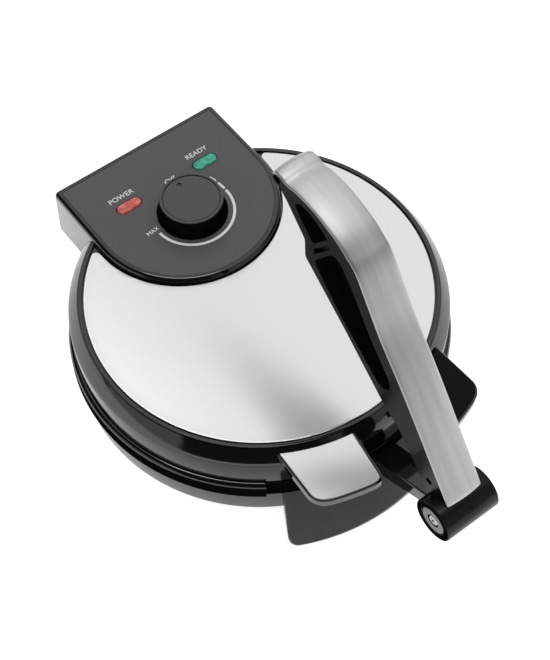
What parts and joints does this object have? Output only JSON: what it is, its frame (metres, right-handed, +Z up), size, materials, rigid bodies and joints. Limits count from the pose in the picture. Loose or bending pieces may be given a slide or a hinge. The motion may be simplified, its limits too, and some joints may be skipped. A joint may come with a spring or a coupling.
{
  "type": "electric roti maker",
  "caption": "Round countertop flatbread press with a hinged steel lid, control housing with dial and lamps, two lift handles and a hinged pressing lever.",
  "frame": {"origin": "on the surface that it stands on, under the middle of its bounding box", "axes": "+Z up, -Y the front with the handles and the pressing lever, +X the user's right"},
  "size_m": [0.2866, 0.4014, 0.2682],
  "materials": {
    "gloss_black": "glossy black moulded plastic",
    "satin_black": "fine satin black moulded plastic",
    "panel_grey": "matte dark grey plastic",
    "brushed_steel": "brushed stainless steel sheet",
    "satin_silver": "satin silver steel sheet",
    "chrome": "bright plated steel",
    "baking_plate": "dark non-stick coating on cast metal",
    "cast_aluminium": "plain aluminium",
    "rubber": "matte black rubber",
    "red_lens": "translucent red plastic",
    "green_lens": "translucent green plastic",
    "brass": "plain turned brass",
    "ceramic": "pale heat resistant insulator"
  },
  "bodies": {
    "base": {"base_pan": "gloss_black", "base_rim": "gloss_black", "lower_plate": "baking_plate", "lower_element": "cast_aluminium", "lower_heat_shield": "cast_aluminium", "front_skirt": "satin_black", "lever_arm": "gloss_black", "arm_eye": "gloss_black", "rear_bracket": "satin_black", "hinge_pin": "chrome", "cord_bush": "rubber", "foot_1": "rubber", "foot_2": "rubber", "foot_3": "rubber", "foot_4": "rubber", "foot_screw_1": "chrome", "foot_screw_2": "chrome", "foot_screw_3": "chrome", "foot_screw_4": "chrome"},
    "lid": {"lid_shell": "gloss_black", "lid_cover": "brushed_steel", "handle_left": "gloss_black", "handle_right": "gloss_black", "handle_plate_left": "brushed_steel", "handle_plate_right": "brushed_steel", "upper_plate": "baking_plate", "upper_element": "cast_aluminium", "upper_heat_shield": "cast_aluminium", "control_housing": "gloss_black", "control_panel": "panel_grey", "power_lens": "red_lens", "ready_lens": "green_lens", "power_lamp": "ceramic", "ready_lamp": "ceramic", "thermostat": "ceramic", "dial_ring": "gloss_black", "hinge_lug_left": "satin_black", "hinge_lug_right": "satin_black"},
    "dial": {"dial_knob": "gloss_black", "dial_spindle": "brass"},
    "lever_pivot": {"lever_barrel": "gloss_black", "pivot_pin": "chrome", "barrel_cap_left": "panel_grey", "barrel_cap_right": "panel_grey", "barrel_screw_left": "chrome", "barrel_screw_right": "chrome"},
    "lever": {"lever_frame": "gloss_black", "lever_cover": "satin_silver"}
  },
  "joints": [
    {"name": "lid_hinge", "type": "hinge", "parent": "base", "child": "lid", "pos_m": [0, 0.18765, 0.044], "axis": [-1, 0, 0], "range_deg": [0, 95]},
    {"name": "dial_turn", "type": "hinge", "parent": "lid", "child": "dial", "pos_m": [0, 0.11765, 0.085], "axis": [0, 0, -1], "range_deg": [0, 275]},
    {"name": "lever_swing", "type": "hinge", "parent": "lever_pivot", "child": "lever", "pos_m": [0, -0.18435, 0.086], "axis": [1, 0, 0], "range_deg": [0, 95]},
    {"name": "lever_press", "type": "hinge", "parent": "base", "child": "lever_pivot", "pos_m": [0, -0.18435, 0.086], "axis": [-1, 0, 0], "range_deg": [0, 40]}
  ],
  "couplings": [
    {"joint": "lever_swing", "follows": "lid_hinge", "ratio": 1}
  ]
}
